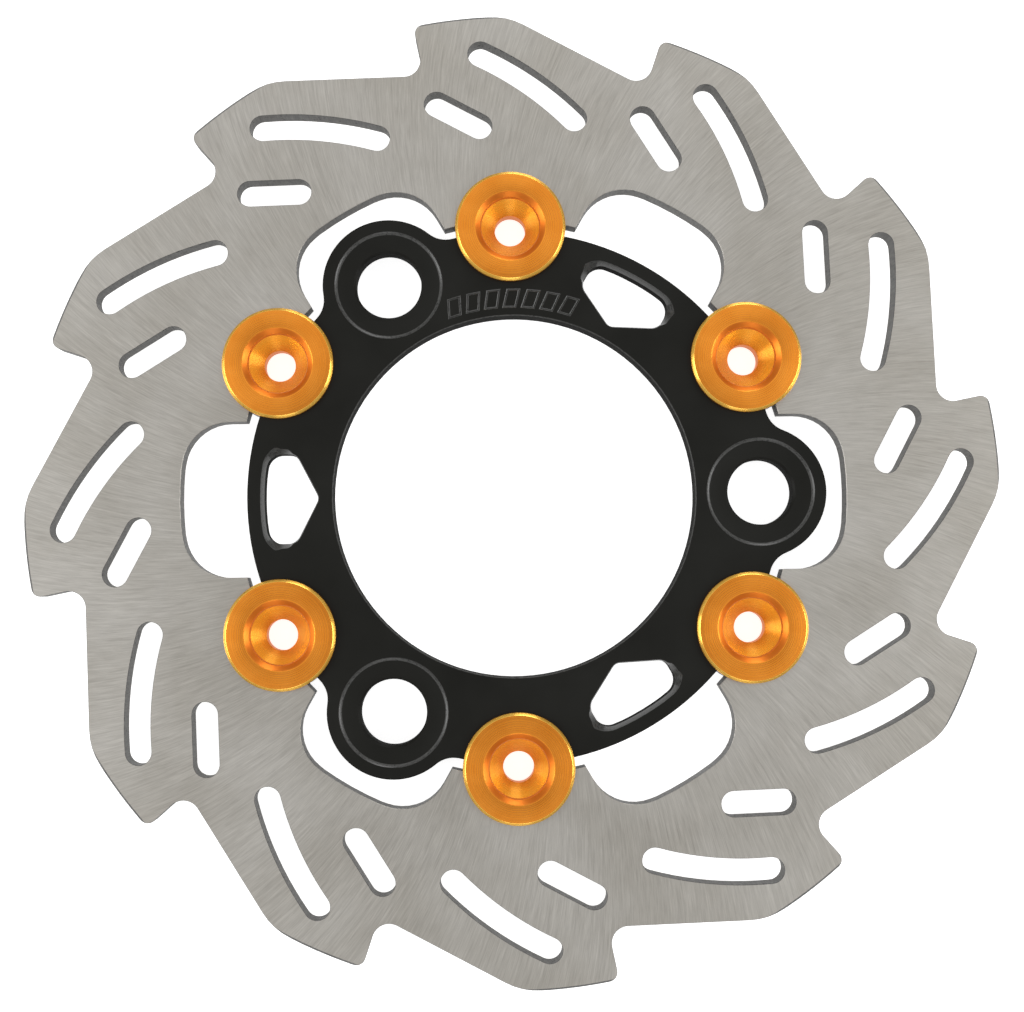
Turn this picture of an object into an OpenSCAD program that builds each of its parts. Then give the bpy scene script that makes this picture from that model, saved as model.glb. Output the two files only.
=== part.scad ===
// Floating brake disc rotor for a motorcycle wheel.
// A toothed steel outer ring is carried by a flat aluminium carrier through six turning buttons.
// Each button is held from behind by a flat washer, a wave washer and a retaining ring.
//
// Frame: Z is the disc axis and z = 0 is the carrier's rear face, which bolts to the wheel hub.
// +Z is the side of the button heads, and +X runs through the centre of one mounting hole.

/* [Outer rotor] */
// Diameter over the tooth tips
rotor_d = 220; // [210:1:240]
// Thickness of the braking ring
rotor_t = 5; // [4:0.1:6]
// Number of teeth around the rim
tooth_count = 12; // [12:12:12]
// Angle taken by the round land of one tooth, in degrees
land_deg = 11.25; // [9:0.25:13]
// Depth of the sharp notch corner below the tooth tips
notch_depth = 11.9; // [8:0.1:13]
// Radius of the notch bottom
notch_fillet = 3.8; // [2:0.1:4.5]
// Radius of the tooth tip
tip_fillet = 2.25; // [1:0.05:3]
// Radius of the blend between a land and the next long flank
flank_fillet = 16; // [8:1:18]
// Chamfer on both edges of the lands
rim_chamfer = 0.5; // [0.2:0.1:0.8]

/* [Rotor slots] */
// Width of every slot
slot_w = 5.8; // [4:0.1:7]
// Long slot: radius of its outer and inner end centres
long_slot_r = [101.3, 87.2];
// Long slot: angle of its outer and inner end centres, in degrees
long_slot_deg = [3.5, -9.9];
// Long slot: how far its centre line bows outwards
long_slot_bow = 1.15; // [0:0.05:2]
// Short slot: radius of its outer and inner end centres
short_slot_r = [91, 84.6];
// Short slot: angle of its outer and inner end centres, in degrees
short_slot_deg = [10.3, 4.5];

/* [Rotor tabs] */
// Radius of the tab ends that face the carrier
tab_r = 62.6; // [61.5:0.1:64]
// Radius of the scallop bottoms between the tabs
scallop_r = 75; // [72:0.5:78]
// Width of one scallop
scallop_w = 35; // [32:0.5:36]
// Radius of the scallop corners
scallop_fillet = 10.6; // [6:0.1:11]

/* [Carrier] */
// Diameter of the carrier disc
carrier_d = 120; // [118:0.5:121]
// Diameter of the centre bore
bore_d = 81.5; // [76:0.5:83]
// Pitch circle diameter of the mounting holes
mount_pcd = 111; // [109:0.5:112]
// Diameter of the mounting holes
mount_hole_d = 14.8; // [10:0.1:16]
// Radius of the ear around a mounting hole
ear_r = 14.9; // [14.2:0.1:15.2]
// Radius of the blend between an ear and the disc
ear_fillet = 6; // [3:0.5:8]
// Diameter of the spotface around a mounting hole
spotface_d = 24.6; // [20:0.1:26]
// Depth of that spotface
spotface_depth = 0.4; // [0.2:0.05:0.8]
// Width of the spotface's sloping wall
spotface_slope = 0.7; // [0.3:0.1:1]
// Chamfer on the edges of the bore and of the mounting holes
edge_chamfer = 0.5; // [0.2:0.1:0.8]

/* [Carrier windows] */
// Radius of the window's outer side
window_outer_r = 56.3; // [55:0.1:57]
// Distance from the disc axis to the window's inner corner, before it is rounded
window_apex_r = 43.9; // [43:0.1:46]
// Half width of the window
window_half_w = 10.1; // [8:0.1:11]
// Slope of the two inner sides, in degrees
window_slope = 27; // [22:1:30]
// Width of the ledge at the window's ends
ledge_w = 1.3; // [0.6:0.1:1.5]
// Depth of the ledge below the front face
ledge_depth = 0.8; // [0.3:0.1:1.5]

/* [Buttons] */
// Number of buttons
button_count = 6; // [6:6:6]
// Pitch circle diameter of the buttons
button_pcd = 122; // [121:0.5:123]
// Diameter of the button head
head_d = 25; // [23:0.5:26]
// Thickness of the button head
head_t = 1.5; // [1.2:0.1:2.5]
// Diameter of the button shank
shank_d = 18; // [16:0.5:19]
// Diameter of the through hole
button_hole_d = 7; // [4:0.5:8]
// Diameter of the raised face's inner edge
well_d = 15.8; // [14:0.1:16]
// Depth of the funnel below the head's face
funnel_depth = 5.5; // [4:0.5:8]
// Length of the through hole's straight wall
button_hole_length = 3.5; // [2:0.5:6]

/* [Fits] */
// Axial float of the rotor each way
float_gap = 0.3; // [0.15:0.05:0.5]
// Radial clearance around the button shank
shank_gap = 0.06; // [0.03:0.01:0.1]
// Axial clearance at the turning faces
face_gap = 0.03; // [0.01:0.01:0.05]

/* [Rear hardware] */
// Thickness of the flat washer
washer_t = 1; // [0.8:0.1:1.5]
// Thickness of the wave washer's strip
wave_t = 0.4; // [0.3:0.05:0.6]
// Overall height of the wave washer
wave_h = 1.3; // [0.8:0.1:1.8]
// Number of waves in the wave washer
wave_count = 3; // [3:1:4]
// Thickness of the retaining ring
ring_t = 1.2; // [1:0.1:1.5]
// Radial depth of the retaining ring's groove
groove_depth = 0.5; // [0.4:0.1:0.8]

/* [Colours] */
// Ground stainless steel
steel_color = [0.65, 0.63, 0.6];
// Black anodised aluminium
carrier_color = [0.12, 0.12, 0.11];
// Orange anodised aluminium
button_color = [0.87, 0.5, 0.15];
// Spring steel of the rear hardware
spring_color = [0.45, 0.45, 0.46];

/* [Hidden] */

$fn = 96;
eps = 0.01;

carrier_t = rotor_t + 2 * float_gap;
rotor_z = float_gap;
pitch = 360 / tooth_count;
mount_r = mount_pcd / 2;
shank_r = shank_d / 2;
socket_r = shank_r + shank_gap;

// Heights of the rear hardware, counted down from the carrier's rear face
washer_z = -face_gap - washer_t;
wave_z = washer_z - face_gap - wave_h;
ring_z = wave_z - face_gap - ring_t;
groove_z = ring_z - face_gap;
shank_end_z = groove_z - 1.3;

washer_in_r = shank_r + 0.2;
washer_out_r = head_d / 2;
ring_in_r = shank_r - groove_depth + face_gap;
ring_out_r = ring_in_r + 2.6;

// ---------- outline helpers ----------

function polar(r, a) = r * [cos(a), sin(a)];
function unit(v) = v / norm(v);
function turn(v, a) = [v[0] * cos(a) - v[1] * sin(a), v[0] * sin(a) + v[1] * cos(a)];

// Points on a circle from angle a0 to angle a1
function arc(c, r, a0, a1, n) = [for (i = [0:n]) c + polar(r, a0 + (a1 - a0) * i / n)];

// The rounded corner at p, between its neighbours a and b
function corner(a, p, b, r) =
    let (u = unit(a - p), v = unit(b - p), half = acos(u * v) / 2,
         c = p + unit(u + v) * r / sin(half),
         from = p + u * r / tan(half) - c, to = p + v * r / tan(half) - c,
         a0 = atan2(from[1], from[0]), sweep = (atan2(to[1], to[0]) - a0 + 540) % 360 - 180)
    arc(c, r, a0, a0 + sweep, max(3, ceil(abs(sweep) / 9)));

// A closed outline from corners given as [point, radius]; radius 0 keeps the corner sharp
function rounded(c) = let (n = len(c)) [for (i = [0:n - 1])
    each c[i][1] > 0 ? corner(c[(i + n - 1) % n][0], c[i][0], c[(i + 1) % n][0], c[i][1]) : [c[i][0]]];

// ---------- outer rotor ----------

// One tooth: its land, its steep radial side, the notch bottom and the foot of the next long flank
function tooth(a) = let (r = rotor_d / 2) concat(
    [[polar(r, a), flank_fillet]],
    [for (f = [0.27:0.1:0.87]) [polar(r, a + land_deg * f), 0]],
    [[polar(r, a + land_deg), tip_fillet], [polar(r - notch_depth, a + land_deg), notch_fillet]]);

module tooth_outline() {
    polygon(rounded([for (i = [0:tooth_count - 1]) each tooth(i * pitch)]));
}

// Centre line of a slot: a shallow arc between two ends, as [centre, radius, start angle, end angle]
function slot_arc(a, b, bow) =
    let (half = norm(b - a) / 2, r = (half * half + bow * bow) / (2 * bow),
         out = turn(unit(b - a), 90), c = (a + b) / 2 - out * (r - bow), span = asin(half / r),
         mid = atan2(out[1], out[0]))
    [c, r, mid + span, mid - span];

// A slot of the given width along such an arc, with round ends
function bowed_slot(a, b, bow, w) =
    let (s = slot_arc(a, b, bow), c = s[0], r = s[1], a0 = s[2], a1 = s[3])
    concat(arc(c, r + w / 2, a0, a1, 10), arc(b, w / 2, a1 - 12, a1 - 168, 13),
           arc(c, r - w / 2, a1, a0, 10), arc(a, w / 2, a0 + 168, a0 + 12, 13));

// A straight slot with round ends
function straight_slot(a, b, w) =
    let (dir = atan2((b - a)[1], (b - a)[0]))
    concat(arc(a, w / 2, dir + 270, dir + 90, 15), arc(b, w / 2, dir + 90, dir - 90, 15));

module slots() {
    for (i = [0:tooth_count - 1]) rotate(i * pitch) {
        polygon(bowed_slot(polar(long_slot_r[0], long_slot_deg[0]), polar(long_slot_r[1], long_slot_deg[1]),
                           long_slot_bow, slot_w));
        polygon(straight_slot(polar(short_slot_r[0], short_slot_deg[0]),
                              polar(short_slot_r[1], short_slot_deg[1]), slot_w));
    }
}

// Scallop on the +X axis: two straight sides, round corners and a bottom that follows the disc
module scallop() {
    half = scallop_w / 2;
    corner_x = sqrt(scallop_r * scallop_r - half * half);
    polygon(rounded(concat(
        [[[50, -half], 0], [[corner_x, -half], scallop_fillet]],
        [for (a = [-5.5:2.75:5.5]) [polar(scallop_r, a), 0]],
        [[[corner_x, half], scallop_fillet], [[50, half], 0]])));
}

// Chamfer cutter for both edges of the lands
module rim_chamfers() {
    r = rotor_d / 2;
    for (side = [0, 1]) translate([0, 0, side * rotor_t]) mirror([0, 0, side])
        rotate_extrude($fn = 180)
            polygon([[r - rim_chamfer, -eps], [r + 1, -eps], [r + 1, rim_chamfer + 1], [r - eps, rim_chamfer]]);
}

module outer_rotor() {
    color(steel_color) translate([0, 0, rotor_z]) difference() {
        linear_extrude(rotor_t) difference() {
            tooth_outline();
            circle(tab_r, $fn = 180);
            slots();
            for (i = [0:button_count - 1]) rotate(i * 60) {
                scallop();
                rotate(30) translate([button_pcd / 2, 0]) circle(socket_r);
            }
        }
        rim_chamfers();
    }
}

// ---------- inner carrier ----------

// One third of the carrier's outline: an ear on the +X axis, its two blends and the disc edge beyond
function ear_sector(a) =
    let (r = carrier_d / 2,
         x = (pow(r + ear_fillet, 2) - pow(ear_r + ear_fillet, 2) + mount_r * mount_r) / (2 * mount_r),
         y = sqrt(pow(r + ear_fillet, 2) - x * x),
         disc_a = atan2(y, x), ear_a = atan2(y, x - mount_r),
         pts = concat(arc([x, -y], ear_fillet, 180 - disc_a, 180 - ear_a, 8),
                      arc([mount_r, 0], ear_r, -ear_a + 5, ear_a - 5, 30),
                      arc([x, y], ear_fillet, 180 + ear_a, 180 + disc_a, 8),
                      arc([0, 0], r, disc_a + 2, 120 - disc_a - 2, 36)))
    [for (p = pts) turn(p, a)];

module carrier_outline() {
    polygon([for (i = [0:2]) each ear_sector(i * 120)]);
}

// Window on the +X axis, and the wider outline of the ledge in its front edge
function window_outline() =
    let (h = window_half_w, side_x = window_apex_r + h * tan(window_slope),
         outer_x = sqrt(pow(window_outer_r, 2) - h * h))
    rounded(concat(
        [[[window_apex_r, 0], 2], [[side_x, -h], 3], [[outer_x, -h], 3.5]],
        [for (a = [-5:2.5:5]) [polar(window_outer_r, a), 0]],
        [[[outer_x, h], 3.5], [[side_x, h], 3]]));

function ledge_outline() =
    let (h = window_half_w + ledge_w, r = window_outer_r + ledge_w / 2,
         outer_x = sqrt(r * r - h * h), side_x = outer_x - 4.4, inner_x = side_x - 2.6)
    rounded(concat(
        [[[inner_x, h / 2], 0], [[inner_x, -h / 2], 0], [[side_x, -h], 1.5], [[outer_x, -h], 3.6]],
        [for (a = [-5:2.5:5]) [polar(r, a), 0]],
        [[[outer_x, h], 3.6], [[side_x, h], 1.5]]));

module windows() {
    for (a = [60, 180, 300]) rotate(a) {
        translate([0, 0, -1]) linear_extrude(carrier_t + 2) polygon(window_outline());
        translate([0, 0, carrier_t - ledge_depth]) linear_extrude(ledge_depth + 1) polygon(ledge_outline());
    }
}

// Through hole with a chamfer on both edges, from z = 0 up to the given face
module chamfered_hole(r, face_z) {
    rotate_extrude() polygon([
        [0, -1], [r + edge_chamfer + 1, -1], [r, edge_chamfer], [r, face_z - edge_chamfer],
        [r + edge_chamfer + 1, face_z + 1], [0, face_z + 1]]);
}

module mounting_holes() {
    for (i = [0:2]) rotate(i * 120) translate([mount_r, 0, 0]) {
        chamfered_hole(mount_hole_d / 2, carrier_t - spotface_depth);
        translate([0, 0, carrier_t - spotface_depth])
            cylinder(h = spotface_depth + eps, r1 = spotface_d / 2 - spotface_slope, r2 = spotface_d / 2);
    }
}

// A band of slanted outline bars engraved in the front face, as plain decoration
module engraving() {
    function bar(w, h) = [[-w / 2 - h / 8, -h / 2], [w / 2 - h / 8, -h / 2],
                          [w / 2 + h / 8, h / 2], [-w / 2 + h / 8, h / 2]];
    translate([0, 0, carrier_t - 0.3]) linear_extrude(1)
        for (i = [-3:3]) rotate(i * 5.6) translate([0, 44.7]) difference() {
            polygon(bar(3.2, 4.4));
            polygon(bar(2.1, 3.4));
        }
}

module inner_carrier() {
    color(carrier_color) difference() {
        linear_extrude(carrier_t) difference() {
            carrier_outline();
            for (i = [0:button_count - 1]) rotate(30 + i * 60) translate([button_pcd / 2, 0]) circle(socket_r);
        }
        chamfered_hole(bore_d / 2, carrier_t);
        mounting_holes();
        windows();
        engraving();
    }
}

// ---------- buttons and their rear hardware ----------

// Places a child on the axis of one button, with its own +X pointing away from the disc axis
module at_button(i) {
    rotate(30 + (i - 1) * 60) translate([button_pcd / 2, 0, 0]) children();
}

// Head, shank, retaining ring groove, funnel and rear countersink, turned in one profile
module button(i) {
    seat_z = carrier_t + face_gap;
    face_z = seat_z + head_t;
    well_r = well_d / 2;
    step_r = well_r - 1.1;
    hole_r = button_hole_d / 2;
    groove_r = shank_r - groove_depth;
    flare_z = face_z - funnel_depth - button_hole_length;
    color(button_color) at_button(i) rotate_extrude() polygon([
        [hole_r, flare_z], [hole_r + (flare_z - shank_end_z), shank_end_z],
        [shank_r - 0.5, shank_end_z], [shank_r, shank_end_z + 0.5],
        [shank_r, groove_z], [groove_r, groove_z],
        [groove_r, groove_z + ring_t + 2 * face_gap], [shank_r, groove_z + ring_t + 2 * face_gap],
        [shank_r, seat_z], [head_d / 2, seat_z],
        [head_d / 2, face_z - 0.6], [head_d / 2 - 0.6, face_z],
        [well_r, face_z], [step_r, face_z - 0.9], [step_r - 0.2, face_z - 1.7],
        [hole_r, face_z - funnel_depth]]);
}

module flat_washer(i) {
    color(spring_color) at_button(i) translate([0, 0, washer_z]) rotate_extrude()
        polygon([[washer_in_r, 0], [washer_out_r - 0.2, 0], [washer_out_r, 0.2],
                 [washer_out_r, washer_t], [washer_in_r, washer_t]]);
}

// Spring washer: a flat strip ring that rises and falls in whole waves
module wave_washer(i) {
    n = 72;
    in_r = washer_in_r + 0.1;
    out_r = washer_out_r - 0.6;
    lift = (wave_h - wave_t) / 2;
    function rise(k) = lift * (1 + cos(wave_count * 360 * k / n));
    section = [[in_r, 0], [out_r, 0], [out_r, wave_t], [in_r, wave_t]];
    pts = [for (k = [0:n - 1]) for (s = section)
        [s[0] * cos(360 * k / n), s[0] * sin(360 * k / n), s[1] + rise(k)]];
    faces = [for (k = [0:n - 1]) for (j = [0:3]) let (a = 4 * k, b = 4 * ((k + 1) % n), m = (j + 1) % 4)
        each [[a + j, b + m, b + j], [a + j, a + m, b + m]]];
    color(spring_color) at_button(i) translate([0, 0, wave_z]) polyhedron(pts, faces);
}

// Open snap ring with two eyes, its gap pointing away from the disc axis
module retaining_ring(i) {
    eye = [ring_in_r + 1.75, 2.4];
    color(spring_color) at_button(i) translate([0, 0, ring_z]) linear_extrude(ring_t) difference() {
        union() {
            circle(ring_out_r);
            for (s = [-1, 1]) translate([eye[0], s * eye[1]]) circle(1.9, $fn = 36);
        }
        circle(ring_in_r);
        translate([ring_in_r / 2, -1]) square([ring_out_r, 2]);
        for (s = [-1, 1]) translate([eye[0], s * eye[1]]) circle(0.8, $fn = 36);
    }
}

// ---------- nodes ----------

outer_rotor();
inner_carrier();
for (i = [1:button_count]) {
    button(i);
    flat_washer(i);
    wave_washer(i);
    retaining_ring(i);
}
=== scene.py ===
import math

import bmesh
import bpy
from mathutils import Matrix, Vector
from mathutils.geometry import tessellate_polygon


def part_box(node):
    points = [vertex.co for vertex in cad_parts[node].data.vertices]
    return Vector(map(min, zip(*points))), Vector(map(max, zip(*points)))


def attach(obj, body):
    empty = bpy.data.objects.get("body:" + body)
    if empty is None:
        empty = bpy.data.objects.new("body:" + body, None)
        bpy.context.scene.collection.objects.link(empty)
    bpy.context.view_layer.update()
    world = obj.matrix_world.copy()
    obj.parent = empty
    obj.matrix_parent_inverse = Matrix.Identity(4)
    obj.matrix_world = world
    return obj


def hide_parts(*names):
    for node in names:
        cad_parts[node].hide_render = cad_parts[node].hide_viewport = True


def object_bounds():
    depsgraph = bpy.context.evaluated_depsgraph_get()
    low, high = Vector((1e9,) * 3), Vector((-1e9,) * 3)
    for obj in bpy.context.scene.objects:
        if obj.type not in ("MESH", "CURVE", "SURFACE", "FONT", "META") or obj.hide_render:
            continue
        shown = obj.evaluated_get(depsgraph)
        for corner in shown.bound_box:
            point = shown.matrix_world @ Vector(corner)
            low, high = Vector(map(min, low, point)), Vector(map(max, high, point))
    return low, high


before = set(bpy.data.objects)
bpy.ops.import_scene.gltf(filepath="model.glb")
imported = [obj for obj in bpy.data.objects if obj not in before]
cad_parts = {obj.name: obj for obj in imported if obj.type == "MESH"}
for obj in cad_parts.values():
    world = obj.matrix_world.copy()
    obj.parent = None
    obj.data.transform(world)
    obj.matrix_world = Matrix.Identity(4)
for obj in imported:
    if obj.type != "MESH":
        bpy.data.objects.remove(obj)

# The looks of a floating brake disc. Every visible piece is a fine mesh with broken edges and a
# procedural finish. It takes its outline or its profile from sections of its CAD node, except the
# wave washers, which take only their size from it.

MM = 0.001
CAD_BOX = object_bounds()
BUTTONS = range(1, 7)

# Widths of the broken and rounded edges, and the angle from which an edge is shaded sharp
STEEL_BREAK = 0.09 * MM
RIM_CHAMFER = 0.5 * MM
CARRIER_BREAK = 0.22 * MM
HOLE_CHAMFER = 0.5 * MM
BORE_CHAMFER = 0.25 * MM
LATHE_ROUND = 0.1 * MM
STRIP_ROUND = 0.12 * MM
SHARP_DEG = 32

# Where a button's funnel lies below its face, how wide the well and the hole's wall reach, how steep
# the step and the well's lip are at least, and the chamfer of its head
FUNNEL_RADIUS, STEP_TOP, FUNNEL_DEPTH = 6.82 * MM, 0.88 * MM, 5.6 * MM
WELL_RADIUS, HOLE_WALL_RADIUS = 7.95 * MM, 3.6 * MM
STEP_SLOPE_DEG, LIP_SLOPE_DEG = 62, 20
HEAD_CHAMFER = 0.62 * MM

# The slots of the finishes on the braking ring, on the carrier and on a button
GROUND, CUT_PAINTED_DARK = range(2)
FACE, MILLED_PAINTED_SHEEN, WALL = range(3)
# A button's slots: the turned face, a painted highlight, and painted shade for the step and for the
# lip
TURNED, PAINTED_HIGHLIGHT, STEP_PAINTED_SHADE, LIP_PAINTED_SHADE = range(4)

# The lip of a carrier window: its width outside and at the ends, its depth, and the turns of its
# edge, away from outwards, over which it grows and then fades
LIP_SIDE, LIP_END, LIP_DEPTH = 0.75 * MM, 1.7 * MM, 1.6 * MM
LIP_TURN_DEG, LIP_FADE_DEG = 75, 40

# The carrier's mounting holes: the radii between which an outline counts as one or as its spotface,
# how far from round it may be, as a part of its radius, how far apart the centres of a hole and its
# spotface may be, the depth of the spotface, the width of its sloped edge, and where that edge
# bends, as parts of its width and depth
HOLE_RADII = 5 * MM, 20 * MM
ROUNDNESS, HOLE_CENTRE_GAP = 0.02, 1 * MM
SPOTFACE_DEPTH, SPOTFACE_SLOPE = 0.4 * MM, 0.7 * MM
SLOPE_BEND, DEPTH_BEND = 0.35, 0.55

# The carrier's row of marks: the depth of the CAD grooves, the depth of the grooves that show and the
# width of their sloped walls, the largest mark, and how far apart a groove's two centres may be
ENGRAVING_DEPTH = 0.3 * MM
GROOVE_DEPTH, GROOVE_DRAFT = 0.16 * MM, 0.22 * MM
MARK_MAX_SPAN, MARK_CENTRE_GAP = 6 * MM, 0.5 * MM

# How far under the carrier's top face its spotfaces are cut
SKIM = 0.02 * MM

# Sections: points closer than WELD are one, and points closer than ON_PLANE to a plane lie in it
WELD, ON_PLANE = 1e-6, 1e-9

# The least cosine that a corner's step is divided by, so that a sharp corner doesn't run away
MITRE_MIN = 0.35

# Openings of the braking ring that come closer to the axis than this are scallops, not slots
SLOT_MIN_RADIUS = 78 * MM


# ---------- sections of the CAD nodes ----------

def section(node, point, normal):
    """Closed loops where a plane cuts a CAD node, each a list of points in order."""
    bm = bmesh.new()
    bm.from_mesh(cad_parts[node].data)
    bmesh.ops.remove_doubles(bm, verts=bm.verts[:], dist=WELD)
    cut = bmesh.ops.bisect_plane(
        bm, geom=bm.verts[:] + bm.edges[:] + bm.faces[:], dist=ON_PLANE,
        plane_co=point, plane_no=normal)["geom_cut"]
    links = {}
    for edge in (e for e in cut if isinstance(e, bmesh.types.BMEdge)):
        for vert in edge.verts:
            links.setdefault(vert, []).append(edge.other_vert(vert))
    loops = []
    while links:
        vert = next(iter(links))
        loop = []
        while vert in links:
            loop.append(vert.co.copy())
            ends = links.pop(vert)
            vert = next((v for v in ends if v in links), None)
        loops.append(loop)
    bm.free()
    return loops


def tidy(loop, turn=math.radians(0.6), gap=0.02 * MM):
    """A flat loop without the points that lie on a straight line or on top of each other."""
    spaced = [p for i, p in enumerate(loop) if (p - loop[i - 1]).length > gap]
    kept = []
    for i, p in enumerate(spaced):
        before, after = p - spaced[i - 1], spaced[(i + 1) % len(spaced)] - p
        if before.angle(after, 0.0) > turn:
            kept.append(p)
    return kept


def area(loop):
    return sum(a.x * b.y - b.x * a.y for a, b in zip(loop, loop[1:] + loop[:1])) / 2


def flat_loops(node, z):
    """The outlines of a CAD node at height z: the outer one anticlockwise, the holes clockwise."""
    loops = [tidy([Vector(p.xy) for p in loop]) for loop in section(node, (0, 0, z), (0, 0, 1))]
    loops = sorted((loop for loop in loops if len(loop) > 2), key=lambda loop: -abs(area(loop)))
    outer, *holes = loops
    return [wound(outer, True)] + [wound(hole, False) for hole in holes]


def wound(loop, anticlockwise):
    return loop if (area(loop) > 0) == anticlockwise else loop[::-1]


def centre_of(loop):
    xs, ys = [p.x for p in loop], [p.y for p in loop]
    return Vector(((min(xs) + max(xs)) / 2, (min(ys) + max(ys)) / 2))


def span_of(loop):
    return max(p.x for p in loop) - min(p.x for p in loop)


def apart(loop, other):
    """How far apart the centres of two outlines are."""
    return (centre_of(loop) - centre_of(other)).length


def side_normals(loop):
    """Mitred unit steps to the left of each point, where the material is."""
    steps = []
    for i, p in enumerate(loop):
        a = (p - loop[i - 1]).normalized()
        b = (loop[(i + 1) % len(loop)] - p).normalized()
        left = (Vector((-a.y, a.x)) + Vector((-b.y, b.x))).normalized()
        steps.append(left / max(MITRE_MIN, left.dot(Vector((-a.y, a.x)))))
    return steps


def inset(loop, widths):
    return [p + step * w for p, step, w in zip(loop, side_normals(loop), widths)]


def circle(centre, radius, count=96):
    """A clockwise circle, as the edge of a hole."""
    return [centre + radius * Vector((math.cos(a), -math.sin(a)))
            for a in (2 * math.pi * i / count for i in range(count))]


# ---------- mesh building ----------

class Skin:
    """A closed surface put together from rings of points, the walls between them and flat caps."""

    def __init__(self):
        self.bm = bmesh.new()

    def ring(self, points, heights):
        if not hasattr(heights, "__len__"):
            heights = [heights] * len(points)
        return [self.bm.verts.new((p.x, p.y, z)) for p, z in zip(points, heights)]

    def wall(self, low, high, slot=0):
        """A band from one ring up to another, seen from the right of the ring's direction."""
        for i in range(len(low)):
            j = (i + 1) % len(low)
            self.bm.faces.new((low[i], low[j], high[j], high[i])).material_index = slot

    def cap(self, rings, up=True):
        verts = [v for ring in rings for v in ring]
        outlines = [[Vector((v.co.x, v.co.y, 0)) for v in ring] for ring in rings]
        for tri in tessellate_polygon(outlines):
            a, b, c = (verts[i] for i in tri)
            facing_up = (b.co - a.co).cross(c.co - a.co).z > 0
            self.bm.faces.new((a, b, c) if facing_up == up else (a, c, b))

    def finish(self, name, materials):
        mesh = bpy.data.meshes.new(name)
        self.bm.to_mesh(mesh)
        self.bm.free()
        mesh.shade_smooth()
        mesh.set_sharp_from_angle(angle=math.radians(SHARP_DEG))
        for material in materials:
            mesh.materials.append(material)
        obj = bpy.data.objects.new(name, mesh)
        bpy.context.scene.collection.objects.link(obj)
        return obj


def edged_wall(skin, loop, z_low, z_high, low_breaks, high_breaks, slots=(0, 0, 0), drops=None):
    """A wall with a broken edge at both ends; returns its end rings in the bottom and top faces.

    slots are the materials of the low break, the wall and the high break, and drops says how deep
    the high break reaches where that isn't its width.
    """
    drops = drops or high_breaks
    bottom = skin.ring(inset(loop, low_breaks), z_low)
    foot = skin.ring(loop, [z_low + w for w in low_breaks])
    head = skin.ring(loop, [z_high - d for d in drops])
    top = skin.ring(inset(loop, high_breaks), z_high)
    skin.wall(bottom, foot, slots[0])
    skin.wall(foot, head, slots[1])
    skin.wall(head, top, slots[2])
    return bottom, top


def rounded_profile(loop, radius, steps=3, share=0.4):
    """A closed outline with each corner turned into an arc over at most a share of its sides."""
    out = []
    for i, p in enumerate(loop):
        a, b = loop[i - 1] - p, loop[(i + 1) % len(loop)] - p
        cut = min(radius, share * a.length, share * b.length)
        start, end = p + a.normalized() * cut, p + b.normalized() * cut
        for k in range(steps + 1):
            t = k / steps
            out.append(start * (1 - t) ** 2 + p * 2 * t * (1 - t) + end * t * t)
    return out


def lathe(name, profile, materials, band_slot=None, count=144):
    """Turns an anticlockwise (radius, height) outline about Z; band_slot picks a band's material."""
    skin = Skin()
    spokes = []
    for i in range(count):
        a = 2 * math.pi * i / count
        points = [(p.x * math.cos(a), p.x * math.sin(a), p.y) for p in profile]
        spokes.append([skin.bm.verts.new(point) for point in points])
    for k in range(len(profile)):
        m = (k + 1) % len(profile)
        slot = band_slot(profile[k], profile[m]) if band_slot else 0
        for here, there in zip(spokes, spokes[1:] + spokes[:1]):
            skin.bm.faces.new((here[k], there[k], there[m], here[m])).material_index = slot
    return skin.finish(name, materials)


def turned_profile(node, axis):
    """The (radius, height) outline of a turned CAD node about a vertical axis, anticlockwise."""
    out = axis.to_3d().normalized()
    across = Vector((-out.y, out.x, 0))
    for loop in section(node, axis.to_3d(), across):
        flat = tidy([Vector(((p.xy - axis).dot(out.xy), p.z)) for p in loop])
        if flat and min(p.x for p in flat) > 0:
            return wound(flat, True)
    raise ValueError(f"{node} has no profile beside its axis")


# ---------- materials ----------

def set_input(links, socket, value):
    """Links a node's output to an input, or gives the input a plain value."""
    if isinstance(value, bpy.types.NodeSocket):
        links.new(value, socket)
    else:
        socket.default_value = value


def math_node(nodes, links, operation, *values):
    node = nodes.new("ShaderNodeMath")
    node.operation = operation
    for socket, value in zip(node.inputs, values):
        set_input(links, socket, value)
    return node.outputs[0]


def range_node(nodes, links, value, from_low, from_high, to_low, to_high):
    node = nodes.new("ShaderNodeMapRange")
    links.new(value, node.inputs["Value"])
    for name, number in (("From Min", from_low), ("From Max", from_high),
                         ("To Min", to_low), ("To Max", to_high)):
        node.inputs[name].default_value = number
    return node


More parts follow.
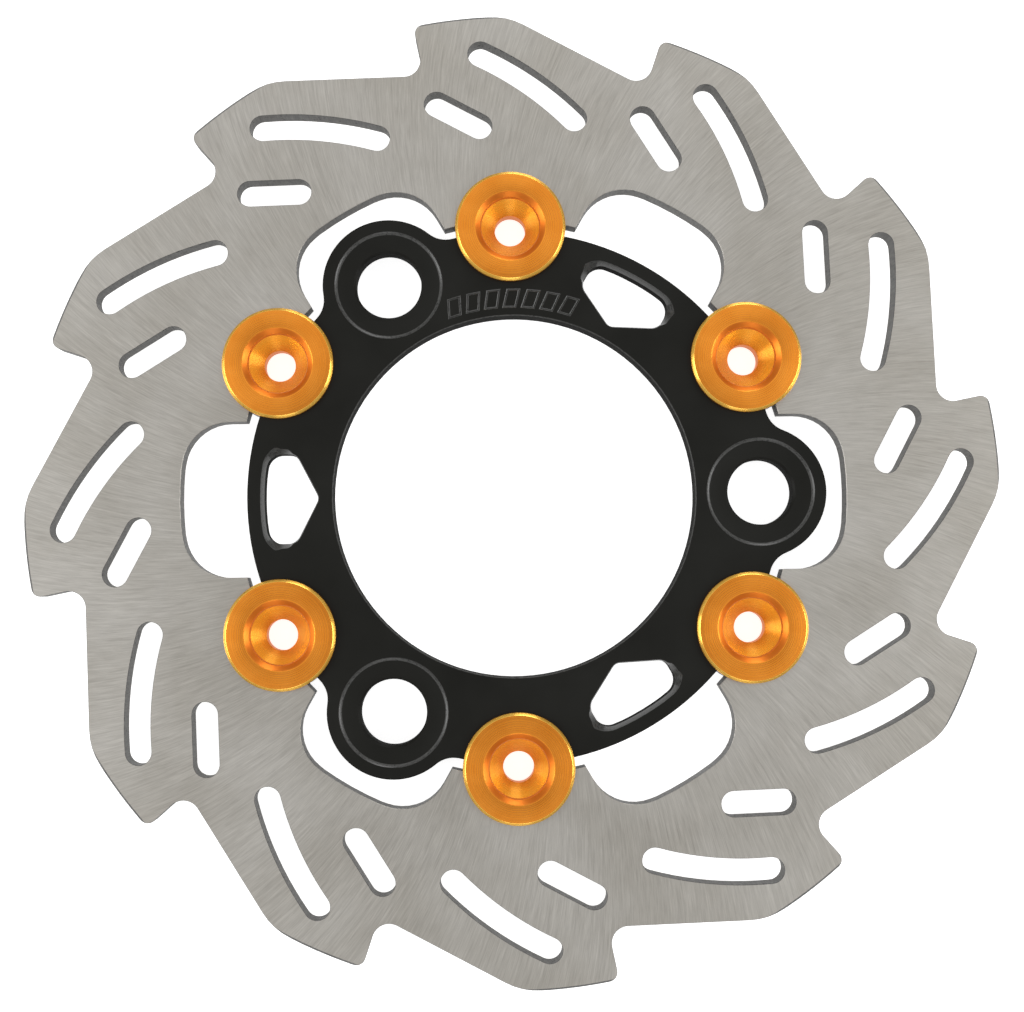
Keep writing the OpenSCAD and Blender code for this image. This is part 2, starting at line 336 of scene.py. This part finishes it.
class Finish:
    """A Principled material with short calls for its procedural nodes."""

    def __init__(self, name, metallic, roughness, color, **sockets):
        self.material = bpy.data.materials.new(name)
        self.material.use_nodes = True
        self.nodes = self.material.node_tree.nodes
        self.links = self.material.node_tree.links
        self.shader = self.nodes["Principled BSDF"]
        self.shader.inputs["Metallic"].default_value = metallic
        self.shader.inputs["Roughness"].default_value = roughness
        self.shader.inputs["Base Color"].default_value = (*color, 1)
        for socket, value in sockets.items():
            self.shader.inputs[socket.replace("_", " ")].default_value = value
        self.coords = self.nodes.new("ShaderNodeTexCoord").outputs["Object"]

    def math(self, operation, *values):
        return math_node(self.nodes, self.links, operation, *values)

    def vector(self, operation, a, b=None, scale=None):
        node = self.nodes.new("ShaderNodeVectorMath")
        node.operation = operation
        set_input(self.links, node.inputs[0], a)
        if b is not None:
            set_input(self.links, node.inputs[1], b)
        if scale is not None:
            set_input(self.links, node.inputs["Scale"], scale)
        return node.outputs["Value" if operation == "LENGTH" else "Vector"]

    def noise(self, vector, scale, detail=2.0, rough=0.5):
        node = self.nodes.new("ShaderNodeTexNoise")
        set_input(self.links, node.inputs["Vector"], vector)
        node.inputs["Scale"].default_value = scale
        node.inputs["Detail"].default_value = detail
        node.inputs["Roughness"].default_value = rough
        return node.outputs["Fac"]

    def remap(self, value, low, high, from_low=0.3, from_high=0.7):
        node = range_node(self.nodes, self.links, value, from_low, from_high, low, high)
        return node.outputs["Result"]

    def mix(self, factor, a, b):
        node = self.nodes.new("ShaderNodeMix")
        node.data_type = "RGBA"
        set_input(self.links, node.inputs["Factor"], factor)
        for name, color in (("A_Color", a), ("B_Color", b)):
            socket = next(socket for socket in node.inputs if socket.identifier == name)
            rgba = color if isinstance(color, bpy.types.NodeSocket) else (*color, 1)
            set_input(self.links, socket, rgba)
        return next(socket for socket in node.outputs if socket.identifier == "Result_Color")

    def color(self, value):
        self.links.new(value, self.shader.inputs["Base Color"])

    def roughness(self, value):
        self.links.new(value, self.shader.inputs["Roughness"])

    def bump(self, height, depth, strength=1.0):
        """Relief from a 0 to 1 height; depth is in metres."""
        node = self.nodes.new("ShaderNodeBump")
        node.inputs["Strength"].default_value = strength
        node.inputs["Distance"].default_value = depth
        self.links.new(height, node.inputs["Height"])
        self.links.new(node.outputs["Normal"], self.shader.inputs["Normal"])

    def radial_streaks(self, fineness, swirl, length):
        """Streak coordinates that run outwards from Z and lean over further out."""
        flat = self.vector("MULTIPLY", self.coords, (1, 1, 0))
        radius = self.vector("LENGTH", flat)
        turn = self.nodes.new("ShaderNodeVectorRotate")
        turn.rotation_type = "Z_AXIS"
        self.links.new(self.vector("NORMALIZE", flat), turn.inputs["Vector"])
        lean = self.math("MULTIPLY", self.math("MULTIPLY", radius, radius), swirl)
        self.links.new(lean, turn.inputs["Angle"])
        around = self.vector("SCALE", turn.outputs["Vector"], scale=fineness)
        lift = self.nodes.new("ShaderNodeCombineXYZ")
        self.links.new(self.math("MULTIPLY", radius, 1 / length), lift.inputs["Z"])
        return self.vector("ADD", around, lift.outputs["Vector"])

    def turned_rings(self, pitch):
        """Noise in rings around Z, as a lathe leaves them."""
        flat = self.vector("MULTIPLY", self.coords, (1, 1, 0))
        split = self.nodes.new("ShaderNodeSeparateXYZ")
        self.links.new(self.coords, split.inputs["Vector"])
        join = self.nodes.new("ShaderNodeCombineXYZ")
        for axis, distance in (("X", self.vector("LENGTH", flat)), ("Y", split.outputs["Z"])):
            self.links.new(self.math("MULTIPLY", distance, 1 / pitch), join.inputs[axis])
        return join.outputs["Vector"]


def ground_steel():
    """Stainless steel with fine marks from a rotary grinder."""
    f = Finish("ground_steel", metallic=1.0, roughness=0.36, color=(0.48, 0.46, 0.43))
    streaks = f.radial_streaks(fineness=480, swirl=15, length=5 * MM)
    fine = f.noise(streaks, 1.0, detail=4, rough=0.7)
    broad = f.noise(streaks, 0.4, detail=2)
    cloud = f.noise(f.coords, 45, detail=3)
    patch = f.remap(cloud, 0, 1, 0.36, 0.64)
    marks = f.math("MULTIPLY_ADD", broad, 0.3, f.math("MULTIPLY", fine, 0.7))
    f.color(f.mix(f.remap(marks, 0, 1, 0.34, 0.66),
                  f.mix(patch, (0.352, 0.333, 0.298), (0.385, 0.368, 0.338)),
                  f.mix(patch, (0.488, 0.464, 0.420), (0.522, 0.502, 0.464))))
    f.roughness(f.math("MULTIPLY_ADD", patch, 0.05, f.remap(fine, 0.32, 0.40)))
    f.bump(fine, 0.012 * MM, 0.6)
    return f.material


def cut_steel_painted_dark():
    """The striated walls that a laser leaves, with small dark specks of dross, in tones painted far
    darker than the ground face as painted shade; the rim's chamfer and the slots' edge breaks take it
    too, as a painted dark line.
    """
    f = Finish("cut_steel_painted_dark", metallic=0.3, roughness=0.6, color=(0.12, 0.12, 0.115))
    grain = f.noise(f.vector("MULTIPLY", f.coords, (1, 1, 0.12)), 2600, detail=3)
    patch = f.noise(f.coords, 150, detail=3)
    tone = f.math("MULTIPLY_ADD", grain, 0.5, f.math("MULTIPLY", patch, 0.5))
    # painted shade: the wall's tones lie far below the ground face's
    wall = f.mix(f.remap(tone, 0, 1, 0.36, 0.64), (0.055, 0.055, 0.053), (0.125, 0.122, 0.116))
    speck = f.remap(f.noise(f.coords, 900, detail=1), 0, 1, 0.675, 0.73)
    f.color(f.mix(speck, wall, (0.01, 0.01, 0.01)))
    f.roughness(f.remap(patch, 0.52, 0.7))
    f.bump(grain, 0.03 * MM, 0.6)
    return f.material


def black_anodised():
    """Satin black anodising over a finely blasted plate."""
    f = Finish("black_anodised", metallic=0.0, roughness=0.4, color=(0.006, 0.006, 0.0046),
               Specular_IOR_Level=0.15)
    cloud = f.noise(f.coords, 60, detail=3)
    f.color(f.mix(f.remap(cloud, 0, 1), (0.0048, 0.0048, 0.0036), (0.0072, 0.0072, 0.0058)))
    f.roughness(f.remap(cloud, 0.36, 0.46))
    f.bump(f.noise(f.coords, 5200, detail=2), 0.012 * MM, 0.5)
    return f.material


def milled_black_painted_sheen():
    """The glossier tool marks of the chamfers under the same anodising, in a colour painted lighter
    than the black face as a painted highlight on the chamfers, lips, spotfaces and grooves.
    """
    f = Finish("milled_black_painted_sheen", metallic=0.0, roughness=0.3, color=(0.02, 0.02, 0.019),
               Specular_IOR_Level=0.4)
    rows = f.noise(f.vector("MULTIPLY", f.coords, (1, 1, 5)), 1500, detail=2)
    # painted highlight: both tones sit well above the black face's; the rows of tool marks are real
    f.color(f.mix(f.remap(rows, 0, 1), (0.02, 0.02, 0.019), (0.045, 0.045, 0.042)))
    f.roughness(f.remap(rows, 0.24, 0.4))
    f.bump(rows, 0.02 * MM, 0.5)
    return f.material


def black_wall():
    """The dull through-cut walls of the carrier."""
    f = Finish("black_wall", metallic=0.0, roughness=0.85, color=(0.006, 0.006, 0.005),
               Specular_IOR_Level=0.05)
    rows = f.noise(f.vector("MULTIPLY", f.coords, (1, 1, 0.2)), 1800, detail=2)
    f.color(f.mix(f.remap(rows, 0, 1), (0.004, 0.004, 0.0035), (0.010, 0.010, 0.009)))
    f.bump(rows, 0.02 * MM, 0.5)
    return f.material


def turned_orange(name, dark, light, roughness, anisotropy):
    """Turned aluminium under clear orange anodising; dark and light are the ends of its tone."""
    f = Finish(name, metallic=0.94, roughness=roughness, color=light,
               Anisotropic=anisotropy, Anisotropic_Rotation=0.25)
    tangent = f.nodes.new("ShaderNodeTangent")
    tangent.direction_type, tangent.axis = "RADIAL", "Z"
    f.links.new(tangent.outputs["Tangent"], f.shader.inputs["Tangent"])
    rings = f.noise(f.turned_rings(0.12 * MM), 1.0, detail=2)
    f.color(f.mix(f.remap(f.noise(f.coords, 220, detail=2), 0, 1), dark, light))
    f.roughness(f.remap(rings, roughness - 0.03, roughness + 0.03))
    f.bump(rings, 0.002 * MM, 0.25)
    return f.material


def orange_finishes():
    """A button's finishes, in the order of their slots."""
    return [turned_orange("orange_anodised", (0.86, 0.28, 0.028), (0.93, 0.325, 0.038), 0.27, 0.7),
            # painted highlight: a lighter, yellower orange for the funnel and the head's chamfer
            turned_orange("orange_painted_highlight", (0.98, 0.53, 0.085), (0.995, 0.59, 0.115), 0.25, 0.85),
            # painted shade: a darker orange for the step and the hole's wall
            turned_orange("orange_step_painted_shade", (0.56, 0.17, 0.014), (0.64, 0.21, 0.018), 0.4, 0.5),
            # painted shade: a darker orange for the well's lip, which is also rougher
            turned_orange("orange_lip_painted_shade", (0.62, 0.166, 0.018), (0.67, 0.187, 0.023), 0.42, 0.5)]


def plated_steel():
    """Bright plated steel, for the flat washers."""
    f = Finish("plated_steel", metallic=1.0, roughness=0.32, color=(0.6, 0.6, 0.59))
    cloud = f.noise(f.coords, 260, detail=3)
    f.color(f.mix(f.remap(cloud, 0, 1), (0.52, 0.53, 0.53), (0.66, 0.66, 0.64)))
    f.roughness(f.remap(cloud, 0.26, 0.42))
    f.bump(f.noise(f.turned_rings(0.2 * MM), 1.0), 0.006 * MM, 0.4)
    return f.material


def spring_steel():
    """Dark spring steel, for the wave washers and the retaining rings."""
    f = Finish("spring_steel", metallic=1.0, roughness=0.42, color=(0.16, 0.16, 0.165))
    cloud = f.noise(f.coords, 420, detail=3)
    f.color(f.mix(f.remap(cloud, 0, 1), (0.12, 0.12, 0.125), (0.2, 0.2, 0.21)))
    f.roughness(f.remap(cloud, 0.34, 0.5))
    f.bump(f.noise(f.coords, 3000, detail=2), 0.006 * MM, 0.4)
    return f.material


# ---------- braking ring ----------

def outer_rotor(ground, cut):
    low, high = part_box("outer_rotor")
    loops = flat_loops("outer_rotor", (low.z + high.z) / 2)
    rim = max(p.length for p in loops[0])
    skin = Skin()
    bottoms, tops = [], []
    for loop in loops:
        breaks = [max(STEEL_BREAK, RIM_CHAMFER - (rim - p.length)) for p in loop]
        scallop = min(p.length for p in loop) < SLOT_MIN_RADIUS
        # The cut steel's dark colour is painted shade on the walls and, on the top breaks of the rim
        # and the slots, a painted dark line; the scallops' top breaks keep the ground steel.
        slots = (CUT_PAINTED_DARK, CUT_PAINTED_DARK, GROUND if scallop else CUT_PAINTED_DARK)
        bottom, top = edged_wall(skin, loop, low.z, high.z, breaks, breaks, slots)
        bottoms.append(bottom)
        tops.append(top)
    skin.cap(bottoms, up=False)
    skin.cap(tops)
    obj = skin.finish("braking_ring", [ground, cut])
    place(obj, "outer_rotor", "rotor")


def place(obj, node, body):
    """Puts a piece on its body, in the place of its CAD node."""
    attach(obj, body)
    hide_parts(node)


# ---------- carrier ----------

def lip_widths(loop, angle):
    """Width of the milled lip around a window: broad at its ends, narrow outside, none inside."""
    out = Vector((math.cos(angle), math.sin(angle)))
    widths = []
    for step in side_normals(loop):
        facing = math.degrees(step.angle(out))
        if facing < LIP_TURN_DEG:
            width = LIP_SIDE + (LIP_END - LIP_SIDE) * (facing / LIP_TURN_DEG) ** 2
        else:
            width = LIP_END * (1 - (facing - LIP_TURN_DEG) / LIP_FADE_DEG)
        widths.append(max(CARRIER_BREAK, width))
    return widths


def inner_carrier(*finishes):
    low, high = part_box("inner_carrier")
    z0, z1 = low.z, high.z
    outline, bore, *small = flat_loops("inner_carrier", (z0 + z1) / 2)
    windows = [loop for loop in small if not is_round(loop)]
    holes = [loop for loop in small if is_round(loop)]
    marks = [loop for loop in flat_loops("inner_carrier", z1 - ENGRAVING_DEPTH / 2)
             if span_of(loop) < MARK_MAX_SPAN]
    spotfaces = [loop for loop in flat_loops("inner_carrier", z1 - SKIM) if is_round(loop)]

    # The bore's chamfer, the windows' lips, the spotfaces' slopes and the grooves' walls take the
    # milled black, whose lighter colour is a painted highlight.
    skin = Skin()
    bottoms, tops = [], []
    for loop, width, edge_slot in ((outline, CARRIER_BREAK, FACE), (bore, BORE_CHAMFER, MILLED_PAINTED_SHEEN)):
        breaks = [width] * len(loop)
        bottom, top = edged_wall(skin, loop, z0, z1, breaks, breaks, (FACE, WALL, edge_slot))
        bottoms.append(bottom)
        tops.append(top)
    for loop in windows:
        centre = centre_of(loop)
        lips = lip_widths(loop, math.atan2(centre.y, centre.x))
        drops = [min(LIP_DEPTH, LIP_DEPTH / LIP_SIDE * lip) for lip in lips]
        breaks = [CARRIER_BREAK] * len(loop)
        bottom, top = edged_wall(skin, loop, z0, z1, breaks, lips, (FACE, WALL, MILLED_PAINTED_SHEEN), drops)
        bottoms.append(bottom)
        tops.append(top)
    for loop in holes:
        bottom, top = mounting_hole(skin, loop, spotfaces, z0, z1)
        bottoms.append(bottom)
        tops.append(top)
    tops += engraving(skin, marks, z1)
    skin.cap(bottoms, up=False)
    skin.cap(tops)
    place(skin.finish("carrier", finishes), "inner_carrier", "carrier")


def is_round(loop):
    """Whether an outline is a circle of about a mounting hole's or a spotface's size."""
    centre = centre_of(loop)
    radii = [(p - centre).length for p in loop]
    smallest, largest = HOLE_RADII
    return max(radii) - min(radii) < ROUNDNESS * max(radii) and smallest < max(radii) < largest


def mounting_hole(skin, loop, spotfaces, z0, z1):
    """A through hole with chamfered edges in a shallow spotface; returns its end rings."""
    centre = centre_of(loop)
    radius = span_of(loop) / 2
    rim = max(span_of(face) / 2 for face in spotfaces if apart(face, loop) < HOLE_CENTRE_GAP)
    edge = circle(centre, radius)
    breaks = [HOLE_CHAMFER] * len(edge)
    bottom, seat = edged_wall(skin, edge, z0, z1 - SPOTFACE_DEPTH, breaks, breaks, (FACE, WALL, FACE))
    foot = skin.ring(circle(centre, rim - SPOTFACE_SLOPE), z1 - SPOTFACE_DEPTH)
    bend = circle(centre, rim - SLOPE_BEND * SPOTFACE_SLOPE)
    middle = skin.ring(bend, z1 - DEPTH_BEND * SPOTFACE_DEPTH)
    top = skin.ring(circle(centre, rim), z1)
    skin.cap([foot, seat])
    skin.wall(foot, middle, MILLED_PAINTED_SHEEN)
    skin.wall(middle, top, MILLED_PAINTED_SHEEN)
    return bottom, top


def engraving(skin, marks, z1):
    """Grooves with sloped walls around small islands; returns their outer edges in the top face."""
    edges = []
    for outer in (m for m in marks if any(holds(m, other) for other in marks)):
        inner = wound(next(m for m in marks if holds(outer, m)), True)
        outer = wound(outer, False)
        outer_top = skin.ring(outer, z1)
        outer_low = skin.ring(inset(outer, [-GROOVE_DRAFT] * len(outer)), z1 - GROOVE_DEPTH)
        inner_top = skin.ring(inner, z1)
        inner_low = skin.ring(inset(inner, [-GROOVE_DRAFT] * len(inner)), z1 - GROOVE_DEPTH)
        skin.wall(outer_low, outer_top, MILLED_PAINTED_SHEEN)
        skin.wall(inner_low, inner_top, MILLED_PAINTED_SHEEN)
        skin.cap([outer_low, inner_low])
        skin.cap([inner_top])
        edges.append(outer_top)
    return edges


def holds(outer, inner):
    """Whether one small outline lies around another."""
    wider = outer is not inner and span_of(outer) > span_of(inner)
    return wider and apart(outer, inner) < MARK_CENTRE_GAP


# ---------- buttons and their rear hardware ----------

def button_axis(i):
    low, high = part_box(f"button_{i}")
    return ((low + high) / 2).xy


def at_button(obj, i, node):
    obj.location = button_axis(i).to_3d()
    place(obj, node, f"button_{i}")


def turned_piece(kind, i, materials, rounding, band_slot=None):
    node = f"{kind}_{i}"
    profile = rounded_profile(turned_profile(node, button_axis(i)), rounding)
    at_button(lathe(f"{node}_turned", profile, materials, band_slot), i, node)


def button(i, materials):
    """A button: the funnel and the outer chamfer take a lighter, yellower orange as a painted
    highlight, the step and the hole's wall a darker orange as painted shade, and the well's lip is
    duller than the face and painted darker as painted shade.
    """
    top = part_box(f"button_{i}")[1]
    head_radius = top.x - button_axis(i).x

    def band_slot(p, q):
        middle, along = (p + q) / 2, q - p
        slope = abs(math.degrees(math.atan2(along.y, abs(along.x))))
        in_well = middle.x < WELL_RADIUS and middle.y > top.z - FUNNEL_DEPTH
        in_funnel = in_well and middle.x < FUNNEL_RADIUS and middle.y < top.z - STEP_TOP
        on_chamfer = middle.x > head_radius - HEAD_CHAMFER and middle.y > top.z - HEAD_CHAMFER
        if in_funnel:
            # the funnel's gentle slopes take the painted highlight, its steep step the painted shade
            return PAINTED_HIGHLIGHT if slope < STEP_SLOPE_DEG else STEP_PAINTED_SHADE
        # the hole's wall takes the painted shade
        if middle.x < HOLE_WALL_RADIUS:
            return STEP_PAINTED_SHADE
        # the well's lip takes the painted shade
        if in_well and slope > LIP_SLOPE_DEG:
            return LIP_PAINTED_SHADE
        # the head's chamfer takes the painted highlight
        return PAINTED_HIGHLIGHT if on_chamfer else TURNED

    turned_piece("button", i, materials, LATHE_ROUND, band_slot)


def wave_washer(i, material, strip=0.4 * MM, waves=3):
    """A flat spring strip that rises and falls around its button."""
    node = f"wave_washer_{i}"
    axis = button_axis(i)
    low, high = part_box(node)
    radii = [(v.co.xy - axis).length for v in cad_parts[node].data.vertices]
    inner, outer = min(radii), max(radii)
    lift = (high.z - low.z - strip) / 2
    corners = (inner, 0), (outer, 0), (outer, strip), (inner, strip)
    profile = rounded_profile([Vector(corner) for corner in corners], STRIP_ROUND)
    obj = lathe(f"{node}_spring", profile, [material])
    for vert in obj.data.vertices:
        around = math.atan2(vert.co.y, vert.co.x) - math.atan2(axis.y, axis.x)
        vert.co.z += low.z + lift * (1 + math.cos(waves * around))
    at_button(obj, i, node)


def retaining_ring(i, material):
    """A flat open ring with two eyes for pliers."""
    node = f"retaining_ring_{i}"
    axis = button_axis(i)
    low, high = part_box(node)
    skin = Skin()
    bottoms, tops = [], []
    for loop in flat_loops(node, (low.z + high.z) / 2):
        local = [p - axis for p in loop]
        breaks = [STRIP_ROUND] * len(local)
        bottom, top = edged_wall(skin, local, low.z, high.z, breaks, breaks)
        bottoms.append(bottom)
        tops.append(top)
    skin.cap(bottoms, up=False)
    skin.cap(tops)
    at_button(skin.finish(f"{node}_ring", [material]), i, node)


# ---------- camera, floor and light ----------

# The camera's place over the disc's face, its turn about each of its own axes, the turn of the disc
# before it, its focal length in widths of the frame and its sensor, and the range that it sees
CAMERA_MM = (-6.4, -22.1, 350.2)
CAMERA_TILT_DEG = (-3.22, 0.95, 0.03)
DISC_TURN_DEG = 0.9
FOCAL_WIDTHS = 1.5234375
SENSOR_MM = 36
CLIP_NEAR, CLIP_FAR = 0.01, 10

# Half the floor's side and the gap between it and the disc
FLOOR_REACH, FLOOR_GAP = 4.0, 0.05 * MM


def add_camera():
    turn = Matrix.Rotation(math.radians(DISC_TURN_DEG), 3, "Z")
    tilt = Matrix.Identity(3)
    for axis, degrees in zip("XYZ", CAMERA_TILT_DEG):
        tilt = tilt @ Matrix.Rotation(math.radians(degrees), 3, axis)
    data = bpy.data.cameras.new("camera")
    data.sensor_width = SENSOR_MM
    data.lens = FOCAL_WIDTHS * SENSOR_MM
    data.clip_start, data.clip_end = CLIP_NEAR, CLIP_FAR
    camera = bpy.data.objects.new("camera", data)
    face = Vector((0, 0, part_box("outer_rotor")[1].z))
    place_over = face + turn.inverted() @ (Vector(CAMERA_MM) * MM)
    camera.matrix_world = Matrix.Translation(place_over) @ (tilt @ turn).transposed().to_4x4()
    bpy.context.scene.collection.objects.link(camera)
    bpy.context.scene.camera = camera


def add_floor():
    """A plain pale floor just under the disc."""
    r, z = FLOOR_REACH, CAD_BOX[0].z - FLOOR_GAP
    mesh = bpy.data.meshes.new("floor")
    mesh.from_pydata([(-r, -r, z), (r, -r, z), (r, r, z), (-r, r, z)], [], [(0, 1, 2, 3)])
    floor = bpy.data.objects.new("floor", mesh)
    bpy.context.scene.collection.objects.link(floor)
    f = Finish("pale_floor", metallic=0.0, roughness=0.9, color=(0.6, 0.6, 0.6),
               Emission_Color=(1, 1, 1, 1), Emission_Strength=0.85)
    mesh.materials.append(f.material)


# Each softbox: its name, azimuth (0 is over +X) and elevation in degrees, sides in metres and watts
SOFTBOXES = (("left_box", 184, 32, (0.6, 0.5), 7),
             ("right_box", -4, 32, (0.6, 0.5), 7),
             ("back_box", 78, 27, (0.5, 0.4), 4),
             ("front_box", 270, 30, (0.5, 0.4), 1.5))
SOFTBOX_DISTANCE = 1.2


def add_softbox(name, azimuth, elevation, size, watts):
    """A rectangular area light that faces the disc."""
    data = bpy.data.lights.new(name, "AREA")
    data.shape = "RECTANGLE"
    data.size, data.size_y = size
    data.energy = watts
    light = bpy.data.objects.new(name, data)
    a, e = math.radians(azimuth), math.radians(elevation)
    way = Vector((math.cos(a) * math.cos(e), math.sin(a) * math.cos(e), math.sin(e)))
    light.location = way * SOFTBOX_DISTANCE
    light.rotation_euler = (-way).to_track_quat("-Z", "Y").to_euler()
    bpy.context.scene.collection.objects.link(light)


# The studio dome: its brightness straight overhead, around that patch and near the horizon, the
# heights (0 at the horizon, 1 overhead) between which it changes, and how much brighter it is
# towards +X and +Y
DOME_ZENITH, DOME_SIDE, DOME_LOW = 0.3, 0.92, 0.5
ZENITH_BAND, LOW_BAND = (0.95, 1.0), (0.45, 0.85)
DOME_LEAN = (-0.08, 0.02)


def add_dome():
    """A white studio dome with a darker patch straight overhead."""
    world = bpy.data.worlds.new("studio_dome")
    world.use_nodes = True
    nodes, links = world.node_tree.nodes, world.node_tree.links
    split = nodes.new("ShaderNodeSeparateXYZ")
    links.new(nodes.new("ShaderNodeTexCoord").outputs["Generated"], split.inputs["Vector"])
    x, y, height = (split.outputs[axis] for axis in "XYZ")

    def band(heights, low, high):
        node = range_node(nodes, links, height, *heights, low, high)
        node.interpolation_type = "SMOOTHSTEP"
        return node.outputs["Result"]

    overhead = band(ZENITH_BAND, DOME_SIDE, DOME_ZENITH)
    low_down = band(LOW_BAND, DOME_LOW / DOME_SIDE, 1.0)
    lean_y = math_node(nodes, links, "MULTIPLY_ADD", y, DOME_LEAN[1], 1.0)
    lean = math_node(nodes, links, "MULTIPLY_ADD", x, DOME_LEAN[0], lean_y)
    strength = math_node(nodes, links, "MULTIPLY", overhead, low_down)
    background = nodes["Background"]
    background.inputs["Color"].default_value = (1, 1, 1, 1)
    links.new(math_node(nodes, links, "MULTIPLY", strength, lean), background.inputs["Strength"])
    bpy.context.scene.world = world


def add_lights():
    add_dome()
    for softbox in SOFTBOXES:
        add_softbox(*softbox)
    bpy.context.scene.view_settings.view_transform = "Standard"


# ---------- the whole object ----------

def build():
    steel, cut = ground_steel(), cut_steel_painted_dark()
    orange, plated, spring = orange_finishes(), plated_steel(), spring_steel()
    outer_rotor(steel, cut)
    inner_carrier(black_anodised(), milled_black_painted_sheen(), black_wall())
    for i in BUTTONS:
        button(i, orange)
        turned_piece("flat_washer", i, [plated], LATHE_ROUND)
        wave_washer(i, spring)
        retaining_ring(i, spring)


build()
add_floor()
add_lights()
add_camera()
